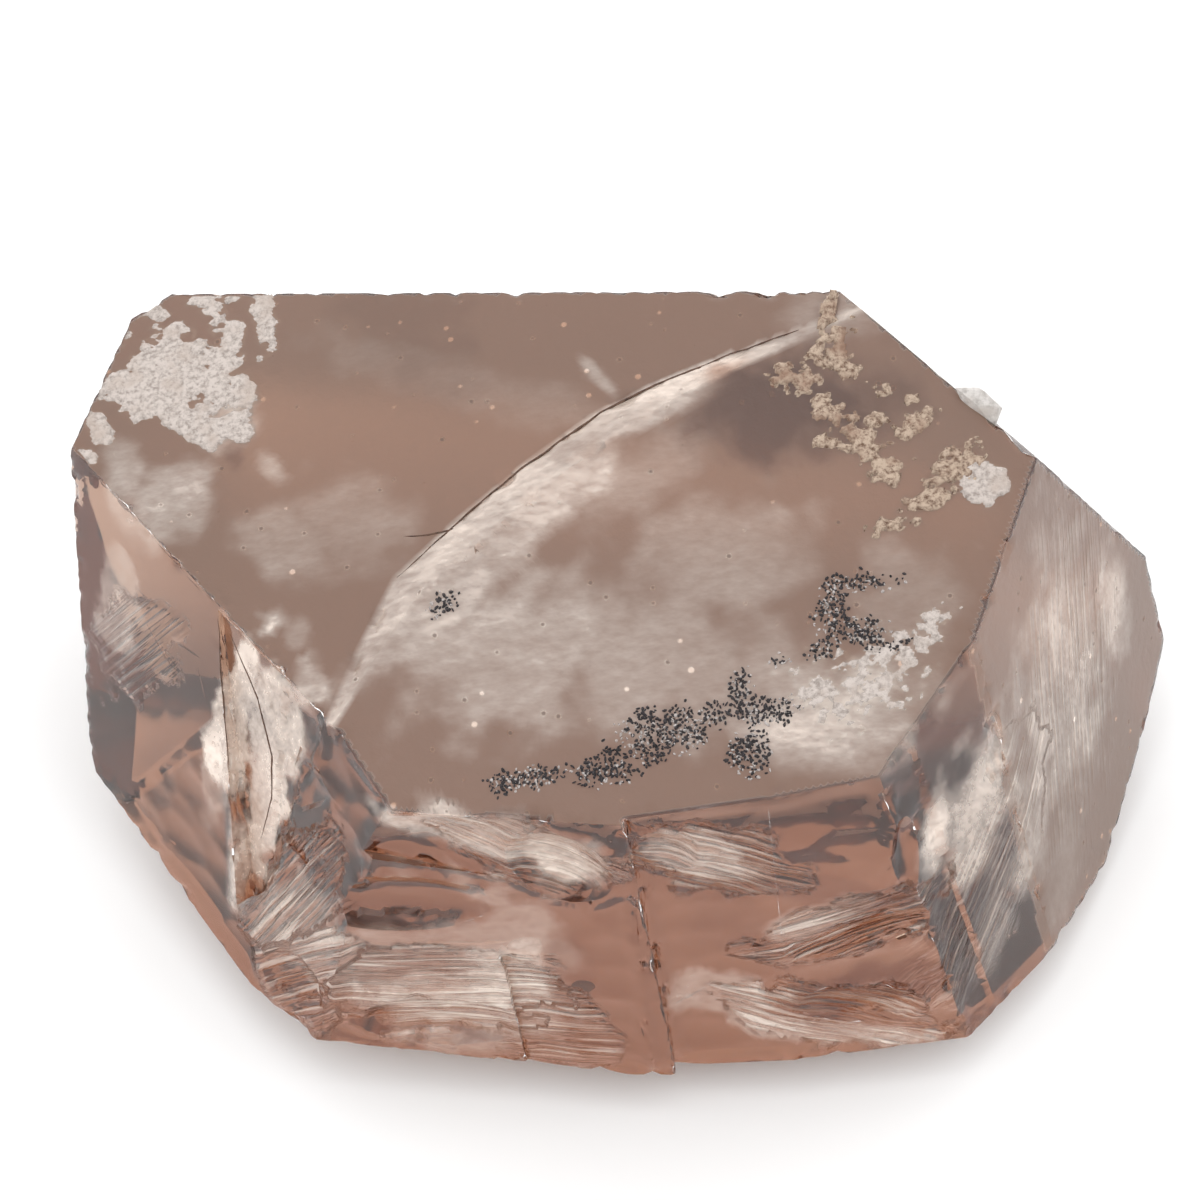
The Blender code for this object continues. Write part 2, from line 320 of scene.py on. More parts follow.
surface = BVHTree.FromObject(crystal, bpy.context.evaluated_depsgraph_get())
solid_points = [v.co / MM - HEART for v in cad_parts["topaz_crystal"].data.vertices]
gaps = [surface.find_nearest(point)[3] for point in solid_points]
print("heart at", [round(x, 2) for x in HEART], "mm; largest gap", round(max(gaps), 2),
      "mm, middle gap", round(float(np.median(gaps)), 4), "mm")

# %% [markdown]
# ## A fine skin
# Flat faces need only their corners, but worn edges and ripples need many small triangles. So
# long edges are halved again and again, and hidden sides get larger triangles, which keeps the
# piece light.

# %% Refine the skin
FINE_EDGE = 0.38
COARSE_EDGE = 0.7
ROUNDS = 8


def longest(edge):
    n = edge.link_faces[0].normal
    return COARSE_EDGE if n.z < -0.2 or n.y > 0.5 else FINE_EDGE


def refine(bm):
    """Halves long edges, the longest first. A halved edge gets one new edge to the far corner of
    each triangle beside it, so the surface stays closed."""
    bmesh.ops.triangulate(bm, faces=bm.faces)
    for _ in range(ROUNDS):
        long = [edge for edge in bm.edges if edge.calc_length() > longest(edge)]
        for edge in sorted(long, key=lambda edge: -edge.calc_length()):
            middle = bmesh.utils.edge_split(edge, edge.verts[0], 0.5)[1]
            for loop in list(middle.link_loops):
                far = loop.link_loop_next.link_loop_next.vert
                bmesh.utils.face_split(loop.face, middle, far)


bm = bmesh.new()
bm.from_mesh(crystal.data)
refine(bm)
bm.normal_update()
bm.verts.index_update()
print("triangles:", len(bm.faces), "open edges:", sum(not e.is_manifold for e in bm.edges))

# %% [markdown]
# ## Wear and growth marks
# Edges of a crystal that rolled in gravel have small nicks, and its faces aren't truly flat:
# growth left shallow swells a few millimetres across. Both move the skin's points along its
# normals. Nicks only cut in, and they fade out away from an edge.

# %% Nick the edges and swell the faces
SHARP = radians(13.0)
NICK_REACH = 0.55
NICK_DEPTH = 0.20
SWELL = 0.035

sharp_points = []
for e in bm.edges:
    if e.calc_face_angle(0.0) > SHARP:
        sharp_points += [e.verts[0].co, e.verts[1].co, (e.verts[0].co + e.verts[1].co) / 2]
near_edge = KDTree(len(sharp_points))
for index, point in enumerate(sharp_points):
    near_edge.insert(point, index)
near_edge.balance()

co = np.array([v.co for v in bm.verts])
normal = np.array([v.normal for v in bm.verts])
edge_distance = np.array([near_edge.find(p)[2] for p in co])


def noise_at(points, size, octaves=3, seed=0.0):
    """Smooth noise, about -1 to 1, at points in millimetres; size is its wavelength."""
    shift = Vector((seed, -seed, 2.0 * seed))
    return np.array([
        noise.fractal(Vector(p) / size + shift, 1.0, 2.0, octaves) for p in points
    ])


nick = smooth(0.05, 0.75, noise_at(co, 1.1, 3, 3.0)) * smooth(NICK_REACH, 0.0, edge_distance)
fine_nick = smooth(-0.1, 0.6, noise_at(co, 0.45, 2, 9.0)) * smooth(0.3, 0.0, edge_distance)
swell = noise_at(co, 5.0, 2, 5.0) * smooth(0.0, 1.5, edge_distance)
standing = smooth(-9.9, -9.5, co[:, 2])
move = (-NICK_DEPTH * nick - 0.05 * fine_nick + SWELL * swell) * standing

# The broken front parted in shells: shallow scoops that meet in ridges.
SCOOP_SIZE = np.array((2.6, 2.6, 1.3))
SCOOP_DEPTH = 0.16
broken = np.max([np.abs(co @ np.array(outward(name)) - ALL_FACES[name][2]) < 1.2
                 for name in ("front_left", "front_right", "corner_left")], axis=0)
scoops = np.zeros(len(co))
for index in np.nonzero(broken & (np.abs(normal[:, 2]) < 0.5) & (normal[:, 1] < -0.5))[0]:
    centre_distance = noise.voronoi(Vector(co[index] / SCOOP_SIZE))[0][0]
    scoops[index] = max(0.0, 1.0 - centre_distance * centre_distance)
move -= SCOOP_DEPTH * scoops * smooth(0.0, 0.8, edge_distance) * standing
co = co + normal * move[:, None]
for vertex, point in zip(bm.verts, co):
    vertex.co = point
print("deepest nick:", round(-float(move.min()), 2), "mm")

# %% [markdown]
# ## Where the surface is frosted or has painted sheen, and where it is lined
# Etching and crushing turn clear topaz milky, and fracture leaves fine lines. Many pale patches
# are painted sheen as well as frost. Each such patch is an ellipse on a face, with a ragged edge
# from noise, and is kept as a number on the points, which the material reads.

# %% Frost and painted sheen patches, and lined patches
# Pale patches are partly frost and partly painted sheen: the pale sheen on the far left of the top,
# the pale band across the middle face and the pale strips of both ends.
# face, x, y (z on a steep face), half length, half width, turn, strength
FROST_AND_SHEEN = [
    ("top_left", -17.9, 3.7, 2.0, 2.6, -28.0, 0.36),
    ("top_left", -19.6, 4.8, 2.4, 1.0, -30.0, 0.30),
    ("top_left", -15.6, 7.2, 1.6, 1.4, 0.0, 0.30),
    ("top_left", -13.6, 4.6, 1.2, 0.6, 0.0, 0.28),
    ("top_left", -12.9, 1.2, 3.2, 1.6, 20.0, 0.20),
    ("top_left", -10.4, 1.6, 3.2, 3.0, 20.0, 0.14),
    ("top_left", -12.2, -3.0, 0.9, 0.5, -40.0, 0.18),
    ("top_left", -0.8, 7.3, 1.6, 0.4, -5.0, 0.26),
    ("top_left", -6.0, 7.6, 9.0, 1.4, 28.0, 0.07),
    ("top_middle", -6.6, -2.6, 5.0, 1.5, 52.0, 0.44),
    ("top_middle", -3.8, 0.2, 5.6, 1.3, 44.0, 0.44),
    ("top_middle", -2.2, 2.0, 3.6, 0.9, 40.0, 0.50),
    ("top_middle", 1.4, 4.8, 3.0, 0.7, 32.0, 0.52),
    ("top_middle", -4.2, -4.6, 5.6, 3.6, 20.0, 0.32),
    ("top_middle", 1.4, -5.0, 7.0, 3.8, 0.0, 0.24),
    ("top_middle", 4.0, -1.0, 4.4, 3.2, 30.0, 0.20),
    ("top_middle", 1.0, 2.2, 4.0, 1.6, 38.0, 0.20),
    ("top_middle", 8.0, -7.4, 5.0, 2.6, 6.0, 0.42),
    ("top_middle", 11.0, -3.0, 2.6, 3.0, 30.0, 0.14),
    ("top_middle", 8.6, 8.4, 2.4, 1.6, 20.0, 0.20),
    ("end_left", -13.4, 4.2, 3.2, 2.1, 80.0, 0.60),
    ("end_left", -14.2, 0.4, 5.0, 1.2, 92.0, 0.60),
    ("end_left", -15.3, 2.4, 6.4, 1.0, 90.0, 0.70),
    ("end_left", -20.2, 2.6, 1.6, 2.4, 0.0, 0.26),
    ("corner_left", -12.4, -2.6, 3.2, 2.4, 40.0, 0.16),
    ("front_left", -6.0, -2.0, 5.0, 5.4, 0.0, 0.20),
    ("front_left", -6.4, -3.6, 3.8, 1.4, 8.0, 0.46),
    ("front_left", -4.6, 5.2, 4.4, 1.2, -4.0, 0.46),
    ("front_left", -2.0, 3.8, 1.8, 0.8, -30.0, 0.66),
    ("front_left", -3.6, -1.2, 2.6, 1.0, 12.0, 0.36),
    ("front_right", 3.2, 4.2, 2.6, 1.1, -28.0, 0.26),
    ("front_right", 7.8, 0.2, 2.6, 0.8, 18.0, 0.20),
    ("front_right", 4.4, -3.8, 2.2, 1.5, -10.0, 0.24),
    ("front_right", 8.6, -6.4, 4.4, 0.7, -14.0, 0.34),
    ("narrow_right", 12.2, 2.6, 2.6, 1.0, 70.0, 0.70),
    ("narrow_right", 14.2, 2.0, 4.4, 2.6, 70.0, 0.45),
    ("narrow_right", 15.2, -3.4, 3.4, 1.6, 60.0, 0.12),
    ("end_right", 17.8, 2.0, 7.5, 4.8, 80.0, 0.34),
    ("end_right", 20.6, 0.8, 1.8, 3.4, 0.0, 0.40),
    ("end_right", 16.6, -1.4, 3.4, 2.2, 60.0, 0.42),
    ("end_right", 18.6, -5.4, 3.2, 1.8, 50.0, 0.14),
]
# The same list for what stayed clear inside a frosted area; strength 1 wipes all frost and painted
# sheen away.
CLEAR = [
    ("front_left", -8.3, 1.0, 3.3, 1.5, 8.0, 0.95),
    ("front_left", -1.6, -1.4, 1.3, 2.4, 0.0, 0.70),
    ("front_right", 8.2, 5.0, 4.2, 2.4, -6.0, 0.95),
    ("front_right", 9.8, -3.9, 3.0, 1.2, 10.0, 0.95),
    ("top_middle", 6.6, 4.6, 3.6, 2.6, 30.0, 0.80),
    ("end_left", -17.9, -3.6, 3.4, 3.4, 0.0, 0.80),
]
# Painted shade: here the colour is made darker and browner, where the view through the stone is
# darker.
PAINTED_SHADE = [
    ("front_right", 9.9, -4.0, 3.6, 1.5, 8.0, 1.00),
    ("front_right", 8.6, 1.4, 3.4, 0.9, -18.0, 0.60),
    ("front_right", 8.2, 5.4, 4.2, 1.8, -6.0, 0.22),
    ("front_right", 4.4, 0.6, 1.6, 2.0, 0.0, 0.35),
    ("front_left", -8.6, 0.8, 2.8, 0.9, 8.0, 0.25),
    ("front_left", -1.6, -2.4, 1.0, 3.0, 0.0, 0.30),
    ("front_left", -3.0, 5.9, 2.6, 0.5, -6.0, 0.45),
    ("top_middle", 6.4, 4.8, 4.4, 3.0, 30.0, 1.00),
    ("top_middle", 9.8, 5.0, 2.4, 2.4, 30.0, 0.60),
    ("top_left", -8.6, 11.2, 6.0, 2.6, 0.0, 0.25),
    ("top_left", -15.2, 5.6, 1.2, 0.5, -30.0, 0.60),
    ("end_left", -18.0, -3.6, 2.8, 2.6, 0.0, 0.25),
]
LINED = [
    ("narrow_right", 15.0, -1.4, 7.5, 3.0, 38.0, 0.6),
    ("end_right", 18.4, 1.0, 8.5, 5.0, 72.0, 0.4),
    ("front_left", -7.0, -3.8, 5.4, 2.6, 7.0, 1.0),
    ("front_left", -2.4, -5.4, 2.4, 3.0, 5.0, 0.8),
    ("front_left", -3.4, 4.4, 3.6, 1.6, -20.0, 0.6),
    ("front_right", 4.0, 3.8, 3.4, 1.6, -25.0, 0.7),
    ("front_right", 9.2, -0.4, 4.4, 1.4, 16.0, 1.0),
    ("front_right", 8.8, -5.4, 5.0, 1.8, -22.0, 1.0),
    ("end_left", -12.6, -1.4, 4.5, 1.8, 70.0, 0.9),
    ("end_left", -19.4, 1.6, 3.6, 2.0, 60.0, 0.3),
    ("corner_left", -12.4, -4.0, 3.6, 2.8, 50.0, 0.9),
]
STEEP = {"end_left", "front_left", "front_right", "narrow_right", "end_right", "corner_left"}
GLASSY = {"end_left", "front_left", "front_right", "corner_left"}
ragged = noise_at(co, 1.6, 4, 1.0)


def patch_frame(patch):
    """Where each point lies in a patch: along it, across it and off the face."""
    name, x, y_or_z, _, _, turn, _ = patch
    centre = on_face(name, x, z=y_or_z) if name in STEEP else on_face(name, x, y=y_or_z)
    return (co - np.array(centre)) @ np.array(face_frame(name, turn))


def patch_weight(patch, place):
    *_, half_length, half_width, _, strength = patch
    reach = np.hypot(place[:, 0] / half_length, place[:, 1] / half_width)
    full = 0.8 if patch[0] in GLASSY else 0.4
    inside = smooth(1.1, full, reach + 0.4 * ragged)
    return strength * inside * smooth(1.6, 0.6, np.abs(place[:, 2]))


frost_and_sheen = np.zeros(len(co))
for patch in FROST_AND_SHEEN:
    frost_and_sheen = np.maximum(frost_and_sheen, patch_weight(patch, patch_frame(patch)))
for patch in CLEAR:
    frost_and_sheen *= 1.0 - patch_weight(patch, patch_frame(patch))
# deep is painted shade: a darker, browner colour where the view through the stone is darker.
deep = np.zeros(len(co))
for patch in PAINTED_SHADE:
    deep = np.maximum(deep, patch_weight(patch, patch_frame(patch)))
lined = np.zeros(len(co))
line_place = np.zeros((len(co), 3))
for number, patch in enumerate(LINED):
    place = patch_frame(patch)
    weight = patch_weight(patch, place)
    better = weight > lined
    lined[better] = weight[better]
    line_place[better] = place[better] + np.array((0.0, 0.0, 7.0 * number))
# The frosted points include the painted sheen.
print("frosted points:", int((frost_and_sheen > 0.1).sum()), "lined points:", int((lined > 0.1).sum()))

# %% [markdown]
# ## Polish
# How rough a surface is decides how sharply one sees into the stone. Grown top faces are silky,
# because fine etching covers them, while breaks are as smooth as glass.

# %% Polish of each face
POLISH = {
    "top_left": 0.30, "top_middle": 0.28, "end_left": 0.06, "front_left": 0.06,
    "front_right": 0.06, "narrow_right": 0.14, "end_right": 0.24, "corner_left": 0.08,
}
OTHER_POLISH = 0.12
# The ledge's pale step is rough fracture, and its paleness is partly a painted highlight, as its
# slope faces the light.
BREAK_FROST_AND_HIGHLIGHT = {"ledge": 0.55, "cleaved": 0.0, "shell": 0.0}
BREAK_POLISH = {"ledge": 0.3, "cleaved": 0.07, "shell": 0.04}

polish = np.full(len(co), OTHER_POLISH)
for name, value in POLISH.items():
    on_it = np.abs(co @ np.array(outward(name)) - ALL_FACES[name][2]) < 0.12
    aligned = normal @ np.array(outward(name)) > 0.97
    polish[on_it & aligned] = value
for face in bm.faces:
    kind = FINISHES[face.material_index]
    if kind == "grown":
        continue
    for vertex in face.verts:
        polish[vertex.index] = BREAK_POLISH[kind]
        frost_and_sheen[vertex.index] = max(frost_and_sheen[vertex.index], BREAK_FROST_AND_HIGHLIGHT[kind])

# %% [markdown]
# ## Cracks inside
# Knocks opened small cracks behind the broken front. A crack is a very thin lens of air, and
# light that meets it at a slant is wholly reflected, so it looks like a bright flake. It is
# modelled as what it is: a closed void, whose faces look out of the stone, into the air.

# %% Thin cracks behind the front
# face, x, z, depth below the face, half length, half width, turn, tilt
CRACKS = [
    ("front_left", -6.9, 4.6, 0.7, 1.3, 0.5, 10.0, 62.0),
    ("front_left", -5.0, 4.4, 0.9, 1.2, 0.6, -8.0, 70.0),
    ("front_left", -2.2, 3.9, 0.8, 1.5, 0.6, -30.0, 66.0),
    ("front_left", -1.0, 2.8, 0.7, 0.9, 0.4, -42.0, 60.0),
    ("front_left", -6.3, -1.2, 0.8, 2.2, 0.5, 8.0, 74.0),
    ("front_left", -6.5, -4.1, 0.7, 2.6, 0.4, 7.0, 68.0),
    ("front_left", -8.6, -4.6, 0.9, 1.6, 0.4, 4.0, 60.0),
    ("front_left", -3.0, -6.2, 0.7, 1.6, 0.5, 12.0, 66.0),
    ("front_left", -1.3, -3.4, 0.6, 0.4, 1.6, 0.0, 50.0),
    ("front_right", 1.2, 5.0, 0.8, 1.0, 0.5, -20.0, 64.0),
    ("front_right", 2.8, 4.2, 0.7, 1.3, 0.5, -28.0, 70.0),
    ("front_right", 4.1, 3.0, 0.8, 1.0, 0.4, -40.0, 60.0),
    ("front_right", 7.2, -0.2, 0.7, 1.5, 0.5, 20.0, 68.0),
    ("front_right", 9.4, 0.9, 0.8, 1.3, 0.4, 12.0, 62.0),
    ("front_right", 8.9, -2.2, 0.6, 1.2, 0.3, 24.0, 70.0),
    ("front_right", 5.6, -3.8, 1.0, 1.4, 0.6, -10.0, 66.0),
    ("front_right", 3.2, -4.2, 0.9, 0.9, 0.6, 30.0, 58.0),
    ("end_left", -19.6, 3.0, 0.8, 0.9, 0.5, 40.0, 60.0),
    ("end_left", -18.6, 2.3, 0.7, 1.0, 0.3, -20.0, 68.0),
    ("end_left", -17.1, 3.5, 0.6, 0.7, 0.4, 15.0, 64.0),
    ("end_left", -16.6, 2.6, 0.7, 0.8, 0.3, -50.0, 60.0),
    ("end_left", -21.4, -2.2, 0.8, 0.8, 0.4, 30.0, 66.0),
    ("corner_left", -12.0, -2.4, 0.7, 1.6, 0.5, 50.0, 62.0),
    ("corner_left", -13.0, -5.0, 0.8, 1.4, 0.5, 20.0, 66.0),
    ("narrow_right", 12.2, 3.0, 0.6, 1.2, 0.4, 70.0, 60.0),
    ("narrow_right", 14.6, -1.0, 0.7, 1.6, 0.3, 40.0, 66.0),
]
CRACK_HALF_GAP = 0.03
CRACK_POLISH = 0.03
CRACK_COVER = 0.12
CRACK_STEP = 0.1
DEEPEST = 30

stone_points = len(bm.verts)
surface = BVHTree.FromBMesh(bm)


def covered(points):
    """Whether every point has at least CRACK_COVER mm of stone over it."""
    nearest = [surface.find_nearest(point)[:2] for point in points]
    return all((point - spot).dot(normal) < -CRACK_COVER
               for point, (spot, normal) in zip(points, nearest))


cracks = bmesh.new()
for name, x, z, depth, half_length, half_width, turn, tilt in CRACKS:
    lean = face_frame(name, turn) @ Matrix.Rotation(radians(tilt), 3, "X")
    rim = [lean @ Vector((half_length * cos(k * pi / 6), half_width * sin(k * pi / 6), 0.0))
           for k in range(12)]
    centre = on_face(name, x, z=z) - outward(name) * depth
    for _ in range(DEEPEST):
        if covered([centre + point for point in rim]):
            break
        centre -= outward(name) * CRACK_STEP
    size = Matrix.Diagonal((half_length, half_width, CRACK_HALF_GAP, 1.0))
    bmesh.ops.create_uvsphere(cracks, u_segments=18, v_segments=10, radius=1.0,
                              matrix=Matrix.Translation(centre) @ lean.to_4x4() @ size)
bmesh.ops.reverse_faces(cracks, faces=cracks.faces)
voids = bpy.data.meshes.new("voids")
cracks.to_mesh(voids)
cracks.free()
bm.from_mesh(voids)
bpy.data.meshes.remove(voids)
extra = len(bm.verts) - stone_points
frost_and_sheen, lined, deep = (np.append(values, np.zeros(extra)) for values in (frost_and_sheen, lined, deep))
polish = np.append(polish, np.full(extra, CRACK_POLISH))
line_place = np.vstack([line_place, np.zeros((extra, 3))])
print("cracks:", len(CRACKS))

# %% Turn the skin into the crystal's mesh
LOOSE_SHADE = radians(28.0)


def new_piece(name, bm):
    """A mesh object in the frame, from a bmesh in millimetres around the heart."""
    mesh = bpy.data.meshes.new(name)
    bm.to_mesh(mesh)
    bm.free()
    mesh.transform(Matrix.Scale(MM, 4) @ Matrix.Translation(HEART))
    obj = bpy.data.objects.new(name, mesh)
    bpy.context.scene.collection.objects.link(obj)
    return obj


for face in bm.faces:
    face.material_index = 0
topaz = new_piece("topaz_crystal_skin", bm)
bpy.data.objects.remove(crystal)
for finish in FINISHES:
    bpy.data.materials.remove(bpy.data.materials["finish_" + finish])
for name, values in (("frost_and_sheen", frost_and_sheen), ("lined", lined), ("polish", polish), ("deep", deep)):
    topaz.data.attributes.new(name, "FLOAT", "POINT").data.foreach_set("value", values)
topaz.data.attributes.new("line_place", "FLOAT_VECTOR", "POINT").data.foreach_set(
    "vector", line_place.ravel())
topaz.data.shade_smooth()
topaz.data.set_sharp_from_angle(angle=LOOSE_SHADE)
print("crystal skin:", len(topaz.data.polygons), "triangles")

# %% [markdown]
# ## Sherry topaz
# Topaz is a clear silicate with a refractive index near 1.62. Its brown comes from colour
# centres through the whole stone, so thick parts look darker: a volume that absorbs a little
# less red than blue does this by itself. The surface adds frost, fine lines and pits, and also
# painted sheen, painted glints and painted shade.

# %% The topaz material
TOPAZ_IOR = 1.62
STONE_TINT = linear("d4b398")
STONE_DENSITY = 126.0
SILK_HAZE = 0.44


def topaz_material():
    material = bpy.data.materials.new("sherry_topaz_etched_and_broken")
    material.use_nodes = True
    tree = material.node_tree
    tree.nodes.clear()
    place = add(tree, "ShaderNodeTexCoord").outputs["Object"]
    frost_and_sheen = add(tree, "ShaderNodeAttribute", attribute_name="frost_and_sheen").outputs["Fac"]
    lined = add(tree, "ShaderNodeAttribute", attribute_name="lined").outputs["Fac"]
    polish = add(tree, "ShaderNodeAttribute", attribute_name="polish").outputs["Fac"]
    deep = add(tree, "ShaderNodeAttribute", attribute_name="deep").outputs["Fac"]
    line_place = add(tree, "ShaderNodeAttribute", attribute_name="line_place").outputs["Vector"]

    # Frost and painted sheen lie on the outside; light that meets them from within mostly passes
    # through.
    outside = add(tree, "ShaderNodeMath", {0: 1.0, 1: add(
        tree, "ShaderNodeNewGeometry").outputs["Backfacing"]}, operation="SUBTRACT").outputs[0]

    # Frost and painted sheen are cloudy: soft clouds 4 mm across, with a finer grain in them.
    along_silk = add(tree, "ShaderNodeMapping", {"Vector": place, "Rotation": (0.0, 0.0, -0.7),
                                                 "Scale": (0.6, 1.5, 1.0)}).outputs[0]
    cloud = add(tree, "ShaderNodeTexNoise", {"Vector": along_silk, "Scale": 300.0, "Detail": 3.0,
                                             "Roughness": 0.6}).outputs["Fac"]
    grain = add(tree, "ShaderNodeTexNoise", {"Vector": along_silk, "Scale": 2600.0, "Detail": 2.0,
                                             "Roughness": 0.65}).outputs["Fac"]
    clouds = add(tree, "ShaderNodeMapRange", {"Value": cloud, "From Min": 0.3, "From Max": 0.7,
                                              "To Min": 0.55, "To Max": 1.35}).outputs[0]
    grains = add(tree, "ShaderNodeMapRange", {"Value": grain, "From Min": 0.3, "From Max": 0.7,
                                              "To Min": 0.72, "To Max": 1.28}).outputs[0]
    cloudy = add(tree, "ShaderNodeMath", {0: clouds, 1: grains}, operation="MULTIPLY").outputs[0]
    frost_and_sheen_clouds = add(tree, "ShaderNodeMath", {0: frost_and_sheen, 1: cloudy}, operation="MULTIPLY").outputs[0]

    # Lines: noise that is stretched along the break, about five lines to a millimetre.
    stretched = add(tree, "ShaderNodeMapping", {"Vector": line_place,
                                                "Scale": (0.22, 5.0, 1.0)}).outputs[0]
    lines = add(tree, "ShaderNodeTexNoise", {"Vector": stretched, "Scale": 1.0, "Detail": 1.0,
                                             "Distortion": 0.3}).outputs["Fac"]
    line_height = add(tree, "ShaderNodeMath", {0: lines, 1: lined},
                      operation="MULTIPLY").outputs[0]
    line_bump = add(tree, "ShaderNodeBump", {"Height": line_height, "Distance": 0.0004,
                                             "Strength": 1.0}).outputs["Normal"]
    crests = add(tree, "ShaderNodeMapRange", {"Value": lines, "From Min": 0.52, "From Max": 0.66,
                                              "To Max": 0.45}).outputs[0]
    streaks_frost_and_sheen = add(tree, "ShaderNodeMath", {0: crests, 1: lined, 2: frost_and_sheen_clouds},
                  operation="MULTIPLY_ADD").outputs[0]

    # Specks: each cell of a Voronoi pattern has a random number; a few hold a dark pit, and a few
    # others a pale speck, which is a painted glint.
    cells = add(tree, "ShaderNodeTexVoronoi", {"Vector": place, "Scale": 1700.0})
    chance = add(tree, "ShaderNodeSeparateColor", {"Color": cells.outputs["Color"]}).outputs
    near = add(tree, "ShaderNodeMapRange", {"Value": cells.outputs["Distance"], "From Min": 0.26,
                                            "From Max": 0.1}).outputs[0]
    chosen_dark = add(tree, "ShaderNodeMath", {0: chance[0], 1: 0.88},
                      operation="GREATER_THAN").outputs[0]
    chosen_glint = add(tree, "ShaderNodeMath", {0: chance[1], 1: 0.94},
                      operation="GREATER_THAN").outputs[0]
    silk = add(tree, "ShaderNodeMapRange", {"Value": polish, "From Min": 0.15, "From Max": 0.25,
                                            "To Max": 0.85}).outputs[0]
    silky_near = add(tree, "ShaderNodeMath", {0: near, 1: silk}, operation="MULTIPLY").outputs[0]
    dark_speck = add(tree, "ShaderNodeMath", {0: silky_near, 1: chosen_dark},
                     operation="MULTIPLY").outputs[0]
    painted_glint_speck = add(tree, "ShaderNodeMath", {0: silky_near, 1: chosen_glint},
                     operation="MULTIPLY").outputs[0]
    specks = add(tree, "ShaderNodeMath", {0: dark_speck, 1: painted_glint_speck},
                 operation="MAXIMUM").outputs[0]
    haze = add(tree, "ShaderNodeMath", {0: silk, 1: SILK_HAZE}, operation="MULTIPLY").outputs[0]
    surface = add(tree, "ShaderNodeMath", {0: streaks_frost_and_sheen, 1: haze}, operation="MAXIMUM").outputs[0]
    milky_and_sheen = add(tree, "ShaderNodeMath", {0: surface, 1: specks}, operation="ADD",
                use_clamp=True).outputs[0]
    milky_and_sheen = add(tree, "ShaderNodeMath", {0: milky_and_sheen, 1: outside}, operation="MULTIPLY").outputs[0]
    clear = add(tree, "ShaderNodeMath", {0: 1.0, 1: milky_and_sheen}, operation="SUBTRACT").outputs[0]
    rough = add(tree, "ShaderNodeMath", {0: milky_and_sheen, 1: 0.3, 2: polish},
                operation="MULTIPLY_ADD").outputs[0]
    whiter = add(tree, "ShaderNodeMapRange", {"Value": streaks_frost_and_sheen, "From Max": 0.42}).outputs[0]
    # Painted shade: deep darkens the haze's brown here, and the glass tint below.
    brown = add(tree, "ShaderNodeMix", {0: deep, 6: linear("8f5d3a"), 7: linear("5a341f")},
                data_type="RGBA").outputs[2]
    less_white = add(tree, "ShaderNodeMath", {0: 1.0, 1: whiter}, operation="SUBTRACT").outputs[0]
    silky_side = add(tree, "ShaderNodeMath", {0: silk, 1: outside}, operation="MULTIPLY").outputs[0]
    browner = add(tree, "ShaderNodeMath", {0: silky_side, 1: less_white},
                  operation="MULTIPLY").outputs[0]
    painted_shade_outside = add(tree, "ShaderNodeMath", {0: deep, 1: outside}, operation="MULTIPLY").outputs[0]
    glass = add(tree, "ShaderNodeMix", {0: painted_shade_outside, 6: linear("ecdccf"), 7: linear("a8816b")},
                data_type="RGBA").outputs[2]
    pale_colour = add(tree, "ShaderNodeMix", {0: browner, 6: glass, 7: brown},
                      data_type="RGBA").outputs[2]
    colour = add(tree, "ShaderNodeMix", {0: dark_speck, 6: pale_colour,
                                         7: linear("4d382d")}, data_type="RGBA").outputs[2]

    # Silky growth: shallow dimples 0.5 mm across and a grain of 0.1 mm.
    dimple = add(tree, "ShaderNodeTexNoise", {"Vector": place, "Scale": 1900.0, "Detail": 3.0,
                                              "Roughness": 0.62}).outputs["Fac"]
    silky = add(tree, "ShaderNodeMath", {0: dimple, 1: silk}, operation="MULTIPLY").outputs[0]
    bump = add(tree, "ShaderNodeBump", {"Height": silky, "Distance": 0.00004, "Strength": 1.0,
                                        "Normal": line_bump}).outputs["Normal"]

    shader = add(tree, "ShaderNodeBsdfPrincipled", {
        "Base Color": colour, "Metallic": 0.0, "Roughness": rough, "IOR": TOPAZ_IOR,
        "Transmission Weight": clear, "Normal": bump})
    body = add(tree, "ShaderNodeVolumeAbsorption", {"Color": STONE_TINT,
                                                    "Density": STONE_DENSITY})
    add(tree, "ShaderNodeOutputMaterial", {"Surface": shader.outputs[0],
                                           "Volume": body.outputs[0]})
    return material


topaz.data.materials.clear()
topaz.data.materials.append(topaz_material())
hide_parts("topaz_crystal")
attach(topaz, "root")

# %% [markdown]
# ## Dried crusts on the top
# Clay and iron rust dried on the crystal in thin, lumpy films with lobed rims. Each film is a
# height map on its face: high inside its patches, broken up by noise, and cut off where the
# height falls below the face. The rim then follows the noise, as a real film's edge does.

# %% A film of crust on a face
CRUST_CELL = 0.09
CRUST_SUNK = 0.04
CRUST_FULL = 0.4


def patch_reach(u, v, centre, half_length, half_width, turn):
    """How far out in an ellipse the points lie: 0 at its centre and 1 at its rim."""
    c, s = cos(radians(turn)), sin(radians(turn))
    along, across = u - centre[0], v - centre[1]
    return np.hypot((along * c + across * s) / half_length, (across * c - along * s) / half_width)


RIM_GAP = 0.12


